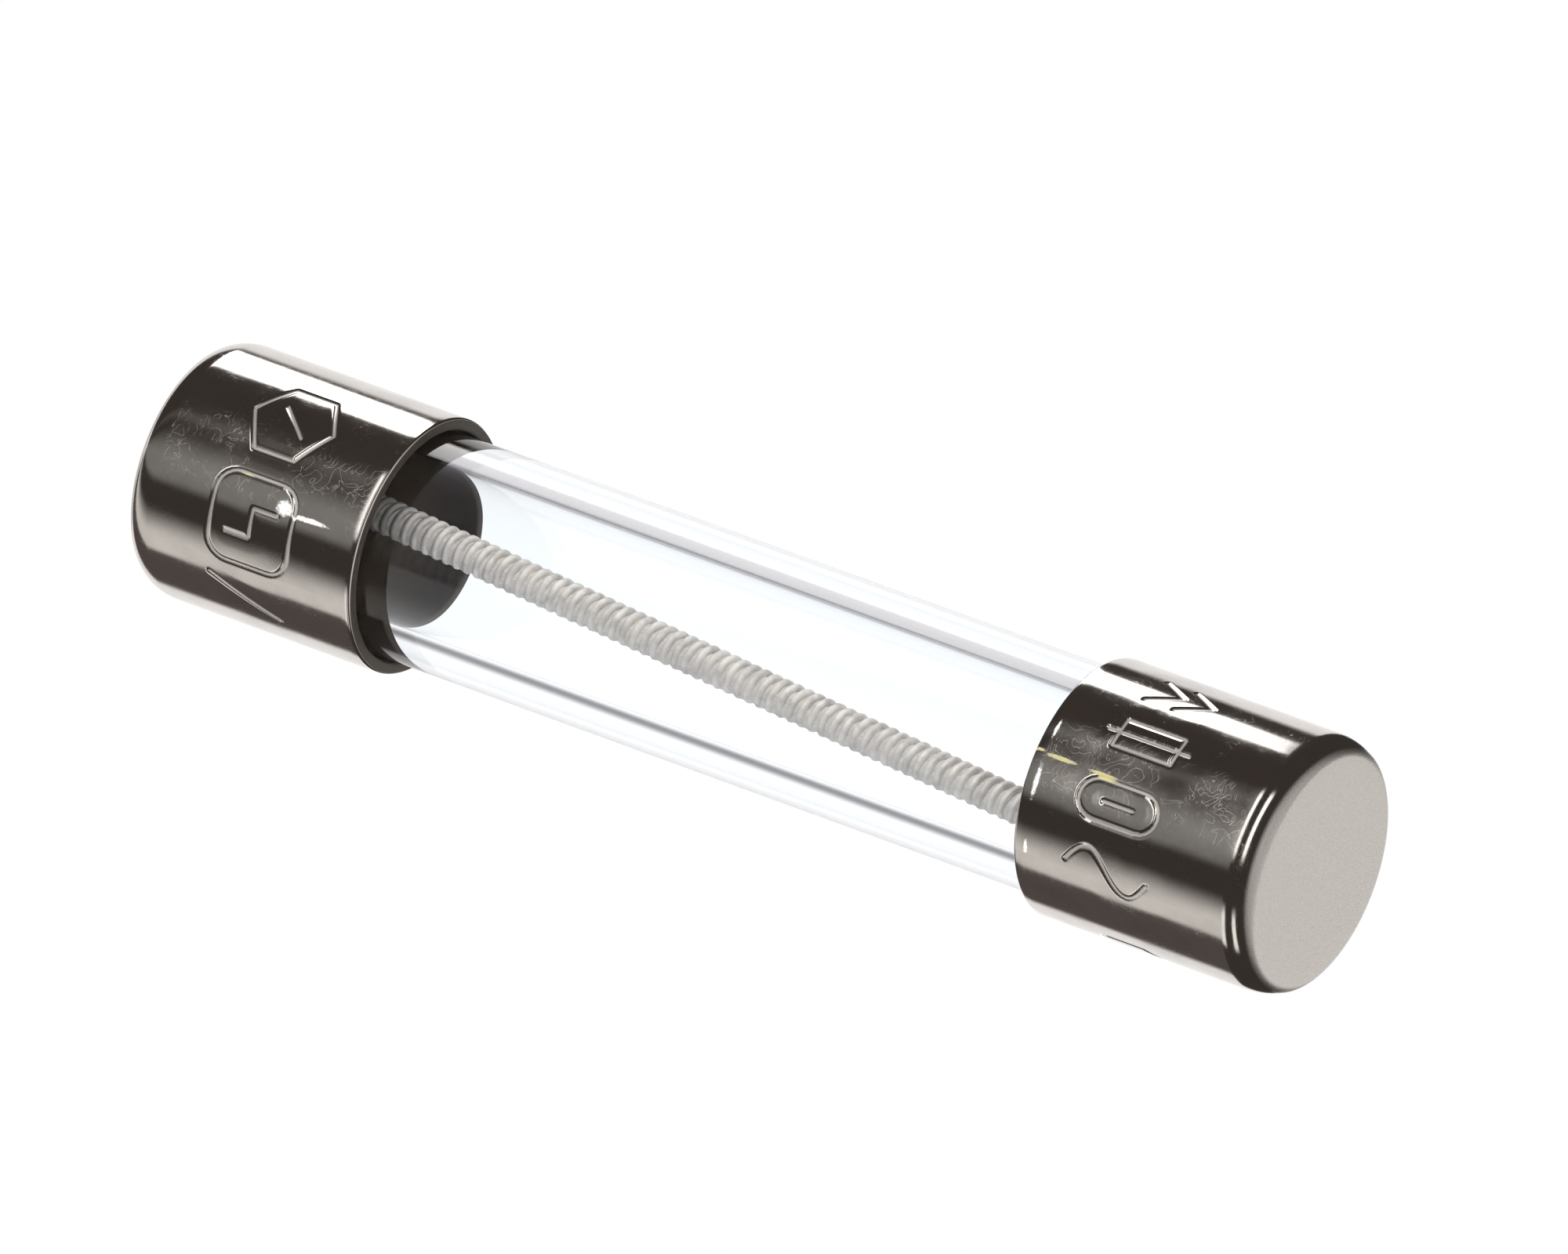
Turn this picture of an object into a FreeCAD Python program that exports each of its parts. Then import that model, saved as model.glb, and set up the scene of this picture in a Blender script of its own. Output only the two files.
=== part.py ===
import FreeCAD, Part
import math
import os

# Glass cartridge fuse, a quarter inch by an inch and a quarter, with a time-delay element: a tinned wire
# wound on a yarn core, which is soldered at both ends into nickel-plated brass caps on a glass tube.
#
# Millimetres. The origin is the middle of the fuse, on its axis. +X runs along the axis to the right-hand
# cap, and the fuse lies on its side with +Z up. Each function builds one piece, and SIDES tells the
# left-hand end (-1) from the right-hand one (+1).

V = FreeCAD.Vector
ORIGIN = V(0, 0, 0)
ALONG = V(1, 0, 0)
SIDES = {"left": -1, "right": 1}

# ---- Overall sizes
FUSE_LENGTH = 31.75             # over the flat ends of both caps
CAP_DIAMETER = 6.35             # outside of a cap, which is what the fuse clips hold

# ---- End caps: drawn brass cups
CAP_LENGTH = 6.50               # from the flat end to the mouth
CAP_WALL = 0.30                 # thickness of the side and of the floor
CAP_FLOOR_RADIUS = 0.18         # inside corner between floor and side
CAP_LIP_RADIUS = 0.09           # rounding on the outer edge of the mouth
CAP_LIP_INNER_RADIUS = 0.06     # rounding on the inner edge of the mouth

# ---- Glass tube
GLASS_CLEARANCE = 0.075         # radial gap between the tube and the bore of a cap
GLASS_WALL = 0.80
GLASS_END_GAP = 0.50            # from the floor of a cap to the end of the tube, filled with solder
GLASS_END_RADIUS = 0.15         # fire-polished edges at the ends of the tube

# ---- Fuse element: a core with a wire wound on it, straight, and slanting across the bore of the tube
CORE_DIAMETER = 0.52
WIRE_DIAMETER = 0.20
WINDING_PITCH = 0.307           # from one turn to the next
WINDING_CLEARANCE = 0.01        # between the core and the wire
WIRE_END_INSET = 0.20           # from the floor of a cap to the end of the winding, along the element
ELEMENT_GAP_LEFT = 0.835        # element to glass, where the tube's left-hand end is
ELEMENT_GAP_RIGHT = 0.04        # element to glass, where the tube's right-hand end is
ELEMENT_PLANE_ANGLE = 37.7      # degrees from straight down, towards -Y: the side it leans to on the right

# ---- Solder in the bottom of each cap
SOLDER_RIM = 1.15               # depth at the glass, from the floor of the cap
SOLDER_CROWN = 0.40             # how far the middle stands above the rim
SOLDER_GLASS_CLEARANCE = 0.02   # between the solder and the bore of the tube
SOLDER_ELEMENT_CLEARANCE = 0.01 # between the solder and the winding
COLLAR_HEIGHT = 0.55            # how far the solder climbs up the element
COLLAR_SPREAD = 0.50            # how much wider the foot of that collar is than its top
COLLAR_TOP_WALL = 0.05          # thickness of the solder at the top of the collar

# ---- Worked out from the sizes above
half_length = FUSE_LENGTH / 2
cap_radius = CAP_DIAMETER / 2
cap_bore_radius = cap_radius - CAP_WALL
cap_end_radius = CAP_FLOOR_RADIUS + CAP_WALL
cap_lip_radius = min(CAP_LIP_RADIUS, 0.6 * CAP_WALL)
cap_lip_inner_radius = min(CAP_LIP_INNER_RADIUS, 0.3 * CAP_WALL)
floor_x = half_length - CAP_WALL
mouth_x = half_length - CAP_LENGTH

glass_radius = cap_bore_radius - GLASS_CLEARANCE
glass_bore_radius = glass_radius - GLASS_WALL
glass_end_x = floor_x - GLASS_END_GAP
glass_end_radius = min(GLASS_END_RADIUS, 0.45 * GLASS_WALL)

core_radius = CORE_DIAMETER / 2
wire_radius = WIRE_DIAMETER / 2
winding_radius = core_radius + WINDING_CLEARANCE + wire_radius
element_radius = winding_radius + wire_radius

# The element's offsets from the axis at the two ends of the tube, along the direction it leans in.
lean = math.radians(ELEMENT_PLANE_ANGLE)
lean_direction = V(0, -math.sin(lean), -math.cos(lean))
left_offset = -(glass_bore_radius - element_radius - ELEMENT_GAP_LEFT)
right_offset = glass_bore_radius - element_radius - ELEMENT_GAP_RIGHT
element_slope = (right_offset - left_offset) / (2 * glass_end_x)
middle_offset = (right_offset + left_offset) / 2
element_direction = (ALONG + lean_direction * element_slope).normalize()


def element_point(x):
    """The point of the element's axis at the distance x along the fuse."""
    return ALONG * x + lean_direction * (middle_offset + element_slope * x)


def tube(radius, x_start, x_end):
    """A solid round bar on the fuse's axis from x_start to x_end."""
    low, high = sorted((x_start, x_end))
    return Part.makeCylinder(radius, high - low, ALONG * low, ALONG)


def round_edges_at(solid, x, radius, fillet):
    """Rounds the circular edge of that radius which lies in the plane at x."""
    edges = [
        edge for edge in solid.Edges
        if isinstance(edge.Curve, Part.Circle)
        and abs(edge.Curve.Radius - radius) < 1e-6
        and abs(edge.Curve.Center.x - x) < 1e-6
    ]
    return solid.makeFillet(fillet, edges)


def cap_cavity(side):
    """The space inside a cap, from its floor to past its mouth."""
    past_mouth = side * (mouth_x - CAP_WALL)
    space = tube(cap_bore_radius, side * floor_x, past_mouth)
    return round_edges_at(space, side * floor_x, cap_bore_radius, CAP_FLOOR_RADIUS)


def end_cap(side):
    """A drawn cup with a rounded closed end and a rounded lip."""
    cup = tube(cap_radius, side * half_length, side * mouth_x)
    cup = round_edges_at(cup, side * half_length, cap_radius, cap_end_radius)
    cup = cup.cut(cap_cavity(side))
    cup = round_edges_at(cup, side * mouth_x, cap_radius, cap_lip_radius)
    return round_edges_at(cup, side * mouth_x, cap_bore_radius, cap_lip_inner_radius)


def glass_tube():
    """A plain tube with rounded edges at both ends."""
    glass = tube(glass_radius, -glass_end_x, glass_end_x)
    glass = glass.cut(tube(glass_bore_radius, -glass_end_x, glass_end_x))
    for side in SIDES.values():
        for radius in (glass_radius, glass_bore_radius):
            glass = round_edges_at(glass, side * glass_end_x, radius, glass_end_radius)
    return glass


def element_bar(radius):
    """A solid round bar on the element's axis that runs from the floor of one cap to the other."""
    overrun = 4 * element_radius
    start = element_point(-floor_x - overrun)
    length = (element_point(floor_x + overrun) - start).Length
    bar = Part.makeCylinder(radius, length, start, element_direction)
    return bar.common(tube(cap_bore_radius, -floor_x, floor_x))


def fuse_wire():
    """The wire wound on the core, as one long helix on the element's axis."""
    start = element_point(-floor_x) + element_direction * WIRE_END_INSET
    end = element_point(floor_x) - element_direction * WIRE_END_INSET
    height = (end - start).Length
    helix = Part.makeLongHelix(WINDING_PITCH, height, winding_radius, 0, False)
    path = Part.Wire(helix.Edges)
    turn_length = 2 * math.pi * winding_radius
    section = Part.makeCircle(wire_radius, V(winding_radius, 0, 0), V(0, turn_length, WINDING_PITCH))
    wire = path.makePipeShell([Part.Wire([section])], True, True)
    turn = FreeCAD.Rotation(V(0, 0, 1), element_direction)
    wire.Placement = FreeCAD.Placement(start, turn)
    return wire


def solder(side):
    """Solder that fills the bottom of a cap, stands up inside the tube and climbs the element."""
    plug_radius = glass_bore_radius - SOLDER_GLASS_CLEARANCE
    rim_x = floor_x - SOLDER_RIM
    crown_x = rim_x - SOLDER_CROWN
    end_layer = tube(cap_bore_radius, side * floor_x, side * glass_end_x)
    end_layer = end_layer.common(cap_cavity(side))
    outline = Part.Wire([
        Part.makeLine(V(side * floor_x, 0, 0), V(side * floor_x, plug_radius, 0)),
        Part.makeLine(V(side * floor_x, plug_radius, 0), V(side * rim_x, plug_radius, 0)),
        meniscus(side, rim_x, crown_x, plug_radius),
        Part.makeLine(V(side * crown_x, 0, 0), V(side * floor_x, 0, 0)),
    ])
    plug = Part.Face(outline).revolve(ORIGIN, ALONG, 360)
    joined = end_layer.fuse([plug, collar(side, crown_x)]).removeSplitter()
    bored = joined.cut(element_bar(element_radius + SOLDER_ELEMENT_CLEARANCE))
    return max(bored.Solids, key=lambda piece: piece.Volume)


def meniscus(side, rim_x, crown_x, radius):
    """The curved top of the solder, from the glass up to its middle."""
    sphere_radius = (radius ** 2 + SOLDER_CROWN ** 2) / (2 * SOLDER_CROWN)
    half_angle = math.asin(radius / sphere_radius) / 2
    centre_x = crown_x + sphere_radius
    halfway = V(side * (centre_x - sphere_radius * math.cos(half_angle)),
                sphere_radius * math.sin(half_angle), 0)
    return Part.Arc(V(side * rim_x, radius, 0), halfway, V(side * crown_x, 0, 0)).toShape()


def collar(side, crown_x):
    """The cone of solder round the element, with its foot buried in the plug."""
    top_radius = element_radius + SOLDER_ELEMENT_CLEARANCE + COLLAR_TOP_WALL
    height = COLLAR_HEIGHT + SOLDER_CROWN + COLLAR_SPREAD
    foot_radius = top_radius + COLLAR_SPREAD * height / COLLAR_HEIGHT
    foot = element_point(side * (crown_x + height - COLLAR_HEIGHT))
    cone = Part.makeCone(foot_radius, top_radius, height, foot, element_direction * -side)
    plug_radius = glass_bore_radius - SOLDER_GLASS_CLEARANCE
    return cone.common(tube(plug_radius, side * floor_x, 0))


def sub_parts():
    """Every piece of the fuse by name."""
    parts = {
        "glass_tube": glass_tube(),
        "element_core": element_bar(core_radius),
        "fuse_wire": fuse_wire(),
    }
    for name, side in SIDES.items():
        parts[name + "_end_cap"] = end_cap(side)
        parts[name + "_solder"] = solder(side)
    return parts


os.makedirs("parts", exist_ok=True)
for node, shape in sub_parts().items():
    shape.exportStep(os.path.join("parts", node + ".step"))
    print(f"{node:16s} solids {len(shape.Solids)}  volume {shape.Volume:9.4f} mm3  valid {shape.isValid()}")
print(f"winding turns {(2 * floor_x - 2 * WIRE_END_INSET) / WINDING_PITCH:.1f}, "
      f"element offset {left_offset:.2f} to {right_offset:.2f} mm")
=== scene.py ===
import math
import bmesh
import bpy
from bpy.props import FloatProperty, FloatVectorProperty, IntProperty, PointerProperty
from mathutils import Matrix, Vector, noise


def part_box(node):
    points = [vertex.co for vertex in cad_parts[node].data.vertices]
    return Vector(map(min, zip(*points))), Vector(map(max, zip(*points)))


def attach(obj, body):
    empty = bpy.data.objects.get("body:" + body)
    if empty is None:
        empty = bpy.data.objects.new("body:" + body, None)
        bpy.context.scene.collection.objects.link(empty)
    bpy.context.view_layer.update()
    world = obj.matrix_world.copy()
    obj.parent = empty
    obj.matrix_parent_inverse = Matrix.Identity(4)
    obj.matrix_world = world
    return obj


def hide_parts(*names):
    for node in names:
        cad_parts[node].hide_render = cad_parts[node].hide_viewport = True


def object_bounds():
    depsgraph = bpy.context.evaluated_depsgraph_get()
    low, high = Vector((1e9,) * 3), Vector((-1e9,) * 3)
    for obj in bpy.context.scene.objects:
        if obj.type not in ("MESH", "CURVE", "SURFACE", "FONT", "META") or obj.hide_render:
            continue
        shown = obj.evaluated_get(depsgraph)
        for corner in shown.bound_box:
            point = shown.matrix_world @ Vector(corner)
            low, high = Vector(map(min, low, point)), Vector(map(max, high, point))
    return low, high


bl_info = {
    "name": "Cartridge fuse",
    "version": (1, 0, 0),
    "blender": (4, 5, 0),
    "location": "View3D > Sidebar > Fuse",
    "description": "Builds a glass cartridge fuse with a spiral-wound element around its CAD frame",
    "category": "Add Mesh",
}

MM = 0.001
BODY = "root"
SIDES = {"left": -1, "right": 1}

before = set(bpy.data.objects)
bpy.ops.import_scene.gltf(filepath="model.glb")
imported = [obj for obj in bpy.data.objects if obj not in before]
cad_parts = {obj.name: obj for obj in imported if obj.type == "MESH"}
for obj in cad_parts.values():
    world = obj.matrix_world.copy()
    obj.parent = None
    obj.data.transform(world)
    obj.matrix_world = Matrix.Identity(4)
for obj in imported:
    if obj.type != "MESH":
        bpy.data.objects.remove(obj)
CAD_LOW, CAD_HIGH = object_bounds()
CAP_RADIUS = CAD_HIGH.z
HALF_LENGTH = CAD_HIGH.x
GLASS_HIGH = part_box("glass_tube")[1]
CAP_LOW, CAP_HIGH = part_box("right_end_cap")
CORE_LOW, CORE_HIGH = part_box("element_core")
LEFT_FLOOR_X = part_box("left_solder")[0].x


# ---- node helpers

class Field:
    """One output in a node tree. Arithmetic on it adds Math nodes to that tree."""

    def __init__(self, graph, socket):
        self.graph = graph
        self.socket = socket

    def __add__(self, other):
        return self.graph.maths("ADD", self, other)

    def __radd__(self, other):
        return self.graph.maths("ADD", other, self)

    def __sub__(self, other):
        return self.graph.maths("SUBTRACT", self, other)

    def __rsub__(self, other):
        return self.graph.maths("SUBTRACT", other, self)

    def __mul__(self, other):
        return self.graph.maths("MULTIPLY", self, other)

    def __rmul__(self, other):
        return self.graph.maths("MULTIPLY", other, self)

    def __truediv__(self, other):
        return self.graph.maths("DIVIDE", self, other)

    def __pow__(self, other):
        return self.graph.maths("POWER", self, other)

    def __abs__(self):
        return self.graph.maths("ABSOLUTE", self)


class Graph:
    """A node tree that is written as calls: node() adds one node and gives back one of its outputs."""

    def __init__(self, tree):
        self.tree = tree
        tree.nodes.clear()

    def node(self, kind, settings=None, inputs=None, out=0):
        made = self.tree.nodes.new(kind)
        for name, value in (settings or {}).items():
            setattr(made, name, value)
        for name, value in (inputs or {}).items():
            if isinstance(value, Field):
                self.tree.links.new(value.socket, made.inputs[name])
            else:
                made.inputs[name].default_value = value
        return Field(self, made.outputs[out]) if made.outputs else made

    def maths(self, operation, *values):
        return self.node("ShaderNodeMath", {"operation": operation}, dict(enumerate(values)))

    def vector(self, operation, *values, **named):
        inputs = dict(enumerate(values)) | named
        return self.node("ShaderNodeVectorMath", {"operation": operation}, inputs)

    def parts(self, vector):
        return [self.node("ShaderNodeSeparateXYZ", None, {0: vector}, axis) for axis in range(3)]

    def join(self, x, y, z):
        return self.node("ShaderNodeCombineXYZ", None, {0: x, 1: y, 2: z})

    def ramp(self, value, low, high, start=0.0, end=1.0):
        """A smooth step from start to end while value goes from low to high."""
        inputs = {"Value": value, "From Min": low, "From Max": high, "To Min": start, "To Max": end}
        return self.node("ShaderNodeMapRange", {"interpolation_type": "SMOOTHSTEP"}, inputs)

    def mix_colour(self, factor, first, second):
        return self.node("ShaderNodeMix", {"data_type": "RGBA"}, {0: factor, 6: first, 7: second}, 2)

    def grain(self, vector, scale, detail=2.0, roughness=0.5, distortion=0.0):
        inputs = {"Vector": vector, "Scale": scale, "Detail": detail,
                  "Roughness": roughness, "Distortion": distortion}
        return self.node("ShaderNodeTexNoise", None, inputs)

    def bump(self, height, strength, distance, normal=None):
        inputs = {"Height": height, "Strength": strength, "Distance": distance}
        if normal is not None:
            inputs["Normal"] = normal
        return self.node("ShaderNodeBump", None, inputs)

    def attribute(self, name):
        """A number that the mesh carries."""
        return self.node("ShaderNodeAttribute", {"attribute_name": name}, None, "Fac")

    def ray(self, question):
        """What kind of ray is being traced, or how far it has come."""
        return self.node("ShaderNodeLightPath", None, None, question)


def shader(name):
    """A new material and its graph."""
    material = bpy.data.materials.new(name)
    material.use_nodes = True
    return material, Graph(material.node_tree)


def finish_surface(graph, inputs):
    """Ends a material in one Principled shader with those inputs."""
    surface = graph.node("ShaderNodeBsdfPrincipled", None, inputs)
    graph.node("ShaderNodeOutputMaterial", None, {"Surface": surface})


def object_mm(graph):
    """Object coordinates in millimetres."""
    place = graph.node("ShaderNodeTexCoord", None, None, "Object")
    return graph.vector("SCALE", place, Scale=1 / MM)


def painted(colour, share=1.0):
    """A colour with full alpha for a socket, made darker or lighter by a share."""
    return tuple(c * share for c in colour) + (1.0,)


# ---- mesh helpers

def link(name, mesh):
    """A new object with that mesh, in the scene."""
    made = bpy.data.objects.new(name, mesh)
    bpy.context.scene.collection.objects.link(made)
    return made


def arc(centre, radius, start, end, steps):
    """Points on an arc in the (along, out) plane, from start to end degrees."""
    angles = [math.radians(start + (end - start) * i / steps) for i in range(steps + 1)]
    return [(centre[0] + radius * math.cos(a), centre[1] + radius * math.sin(a)) for a in angles]


def spread(start, end, steps):
    """Evenly spaced values from start to end, both included."""
    return [start + (end - start) * i / steps for i in range(steps + 1)]


def lathe(name, profile, columns, axis="X", closed=False):
    """Turns a profile of (along, out) points round an axis. Points on the axis become poles."""
    mesh = bpy.data.meshes.new(name)
    shell = bmesh.new()
    rings = []
    for along, out in profile:
        count = columns if out > 1e-9 else 1
        ring = []
        for i in range(count):
            angle = 2 * math.pi * i / columns
            across, up = out * math.cos(angle), out * math.sin(angle)
            place = (along, across, up) if axis == "X" else (across, up, along)
            ring.append(shell.verts.new(place))
        rings.append(ring)
    pairs = list(zip(rings, rings[1:]))
    if closed:
        pairs.append((rings[-1], rings[0]))
    for first, second in pairs:
        for i in range(columns):
            j = (i + 1) % columns
            corners = [first[i % len(first)], first[j % len(first)],
                       second[j % len(second)], second[i % len(second)]]
            unique = list(dict.fromkeys(corners))
            if len(unique) > 2:
                shell.faces.new(unique)
    bmesh.ops.recalc_face_normals(shell, faces=shell.faces)
    for face in shell.faces:
        face.smooth = True
    shell.to_mesh(mesh)
    shell.free()
    return mesh


def geometry_tree(name, sockets):
    """A Geometry Nodes group with those inputs, its graph, and its inputs as a dict of fields."""
    tree = bpy.data.node_groups.new(name, "GeometryNodeTree")
    tree.interface.new_socket("Geometry", in_out="INPUT", socket_type="NodeSocketGeometry")
    for label, kind in sockets.items():
        tree.interface.new_socket(label, in_out="INPUT", socket_type="NodeSocket" + kind)
    tree.interface.new_socket("Geometry", in_out="OUTPUT", socket_type="NodeSocketGeometry")
    graph = Graph(tree)
    group = tree.nodes.new("NodeGroupInput")
    fields = {socket.name: Field(graph, socket) for socket in group.outputs if socket.name}
    return graph, fields


def end_tree(graph, geometry, material):
    """Ends a geometry tree in plain, smooth geometry with one material."""
    real = graph.node("GeometryNodeRealizeInstances", None, {0: geometry})
    smooth = graph.node("GeometryNodeSetShadeSmooth", None, {0: real})
    finished = graph.node("GeometryNodeSetMaterial", None, {"Geometry": smooth, "Material": material})
    graph.node("NodeGroupOutput", None, {0: finished})


def made_by_tree(name, mesh, tree, values):
    """A plain mesh object: the tree is run once on the mesh with those input values."""
    made = link(name, mesh)
    modifier = made.modifiers.new(tree.name, "NODES")
    modifier.node_group = tree
    for item in tree.interface.items_tree:
        if item.in_out == "INPUT" and item.name in values:
            modifier[item.identifier] = values[item.name]
    made.update_tag()
    depsgraph = bpy.context.evaluated_depsgraph_get()
    result = bpy.data.meshes.new_from_object(made.evaluated_get(depsgraph), depsgraph=depsgraph)
    made.modifiers.remove(modifier)
    made.data = result
    return made


def hand_over(piece, node):
    """Puts a finished piece under the body and hides the CAD node that it stands for."""
    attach(piece, BODY)
    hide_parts(node)


# ---- sizes and colours

def millimetres(name, description, default, precision=3):
    """A length that a user may change, with its default in millimetres."""
    return FloatProperty(name=name, description=description, default=default * MM, unit="LENGTH",
                         precision=precision)


def paint(name, description, default):
    """A colour that a user may change."""
    return FloatVectorProperty(name=name, description=description, default=default, subtype="COLOR",
                               min=0, max=1)


class CapSettings(bpy.types.PropertyGroup):
    wall: millimetres(name="Wall", description="Thickness of the drawn cup", default=0.30)
    corner: millimetres(name="Corner", description="Rounding at the closed end, across the fuse",
                        default=0.40)
    shoulder: millimetres(name="Shoulder", description="Rounding at the closed end, along the fuse",
                          default=0.70)
    lip: millimetres(name="Lip", description="Rounding on the outer edge of the mouth", default=0.09)
    lip_inner: millimetres(name="Inner lip", description="Rounding on the inner edge of the mouth",
                           default=0.06)
    floor_corner: millimetres(name="Floor corner", description="Rounding between the floor and the bore",
                              default=0.18)
    ripple: millimetres(name="Ripple", description="Height of the unevenness left by drawing the cup",
                        default=0.002, precision=6)
    columns: IntProperty(name="Columns", description="Faces round a cap", default=560, min=32)
    plating: paint(name="Plating", description="Colour of the nickel plate", default=(0.70, 0.665, 0.63))
    # The inside colour is partly the unplated brass under flux and partly painted shade of the cup's hollow,
    # near black by the mouth.
    inside: paint(name="Inside", description="Colour of the unplated inside, under flux",
                  default=(0.042, 0.031, 0.022))
    worn: paint(name="Worn", description="Colour of the brass under the plate", default=(0.80, 0.74, 0.34))


class MarkSettings(bpy.types.PropertyGroup):
    height: millimetres(name="Height", description="Length of a mark along the fuse", default=2.25)
    depth: millimetres(name="Depth", description="Depth of the pressed strokes", default=0.030, precision=5)
    stroke: millimetres(name="Stroke", description="Half the width of a pressed stroke",
                        default=0.095, precision=5)
    dish: millimetres(name="Dish", description="Depth of the hollow that the stamp leaves round a stroke",
                      default=0.006, precision=6)
    dish_width: millimetres(name="Dish width", description="How far that hollow reaches from a stroke",
                            default=0.7)


class GlassSettings(bpy.types.PropertyGroup):
    wall: millimetres(name="Wall", description="Thickness of the tube", default=0.80)
    edge: millimetres(name="Edge", description="Fire-polished rounding at the ends", default=0.15)
    columns: IntProperty(name="Columns", description="Faces round the tube", default=360, min=32)
    tint: paint(name="Tint", description="Colour of the glass", default=(0.985, 0.995, 1.0))
    index: FloatProperty(name="Index", description="Refractive index", default=1.50, min=1)


class ElementSettings(bpy.types.PropertyGroup):
    wire: millimetres(name="Wire", description="Diameter of the wire", default=0.20, precision=5)
    pitch: millimetres(name="Pitch", description="From one turn to the next", default=0.307, precision=5)
    end_inset: millimetres(name="End inset", description="From a cap's floor to the end of the wire",
                           default=0.20)
    jitter: millimetres(name="Jitter", description="How far a turn strays along the element",
                        default=0.012, precision=5)
    bulge: millimetres(name="Bulge", description="How far the yarn swells out between the turns of wire",
                       default=0.125, precision=5)
    sag: millimetres(name="Sag", description="How far the yarn lies to the low front side of the winding",
                     default=0.05, precision=5)
    core_inset: millimetres(name="Core inset", description="From a cap's floor to the end of the yarn",
                            default=0.02, precision=5)
    plies: IntProperty(name="Plies", description="Strands twisted into the core", default=5, min=2)
    lay: millimetres(name="Lay", description="Length of one twist of the core", default=2.4)
    tin: paint(name="Tin", description="Colour of the tinned wire", default=(0.85, 0.822, 0.790))
    yarn: paint(name="Yarn", description="Colour of the core's fibres", default=(0.79, 0.755, 0.71))


class SolderSettings(bpy.types.PropertyGroup):
    depth: millimetres(name="Depth", description="From a cap's floor to the solder's edge at the glass",
                       default=1.15)
    crown: millimetres(name="Crown", description="How far the middle stands above that edge", default=0.40)
    climb: millimetres(name="Climb", description="How far the solder is drawn up the element", default=0.55)
    collar: millimetres(name="Collar", description="How far from the element that climb dies away",
                        default=0.22)
    bore_gap: millimetres(name="Bore gap", description="Between the solder and the bore of the tube",
                          default=0.02, precision=5)
    lumps: millimetres(name="Lumps", description="Height of the lumps on the solder", default=0.06)
    metal: paint(name="Metal", description="Colour of the solder", default=(0.50, 0.49, 0.47))
    flux: paint(name="Flux", description="Colour of the flux haze", default=(0.33, 0.25, 0.14))


class StageSettings(bpy.types.PropertyGroup):
    azimuth: FloatProperty(name="Azimuth", description="Where the camera stands round the fuse",
                           default=math.radians(34.08), subtype="ANGLE")
    elevation: FloatProperty(name="Elevation", description="How high the camera stands",
                             default=math.radians(32.35), subtype="ANGLE")
    distance: millimetres(name="Distance", description="Camera to the middle of the fuse", default=818)
    lens: FloatProperty(name="Lens", description="Focal length in millimetres", default=800.9)
    shift_right: millimetres(name="Aim right", description="How far right of the fuse the camera aims",
                             default=0.672, precision=5)
    shift_up: millimetres(name="Aim up", description="How far above the fuse the camera aims",
                          default=0.919, precision=5)
    floor_radius: FloatProperty(name="Floor radius", description="How far the floor reaches",
                                default=1.5, unit="LENGTH")
    softbox_power: FloatProperty(name="Softbox", description="Brightness of the softbox",
                                 default=5.0, min=0)
    floor: paint(name="Floor", description="Colour of the floor", default=(1.0, 1.0, 1.0))


class FuseSettings(bpy.types.PropertyGroup):
    cap: PointerProperty(type=CapSettings)
    mark: PointerProperty(type=MarkSettings)
    glass: PointerProperty(type=GlassSettings)
    element: PointerProperty(type=ElementSettings)
    solder: PointerProperty(type=SolderSettings)
    stage: PointerProperty(type=StageSettings)


# ---- materials

# White spots that are painted glints of light off small nicks, and scratches that show the brass. Each has
# its place along the fuse in mm, its place round the cap in degrees, 0 in front and 90 on top, and half its
# size along and round the cap in mm.
GLINT_SPOTS = ((-11.56, 32.6, 0.24, 0.19), (-10.85, 31.0, 0.60, 0.07), (9.66, 56.5, 0.05, 0.25),
         (9.70, 32.4, 0.075, 0.42), (9.73, 2.0, 0.055, 0.26))
SCRATCHES = ((9.47, 45.8, 0.20, 0.045), (10.12, 44.9, 0.44, 0.06), (11.30, 44.8, 0.42, 0.05),
             (-12.80, 42.0, 0.20, 0.05))


# The white of the painted glints off the nicks.
GLINT_WHITE = (0.92, 0.92, 0.89)
SATIN_DARK = 0.65
SATIN_LIGHT = 0.76
# How many times lighter the inside colour is deep in the cup than near the mouth: painted light where the
# back wall of the hollow is lit.
INSIDE_DEEP_PAINTED_LIGHT = 7.0


def either(first, second):
    """A mask that is 1 where one of two masks is."""
    return first + second - first * second


def inside_of_cup(graph, along, out, cap):
    """A mask for the cap's inner faces and for the cut edge of its mouth, which take the dark inside colour
    that is partly painted shade. Lengths are in millimetres.
    """
    radius, wall = CAP_RADIUS / MM, cap.wall / MM
    floor, mouth = HALF_LENGTH / MM - wall / 2, CAP_LOW.x / MM
    bore = graph.ramp(out, radius - wall + 0.14, radius - wall + 0.11)
    bore = bore * graph.ramp(along, floor, floor - 0.05)
    cut_edge = graph.ramp(out, radius - 0.03, radius - 0.05) * graph.ramp(along, mouth + 0.18, mouth + 0.10)
    return either(bore, cut_edge)


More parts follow.
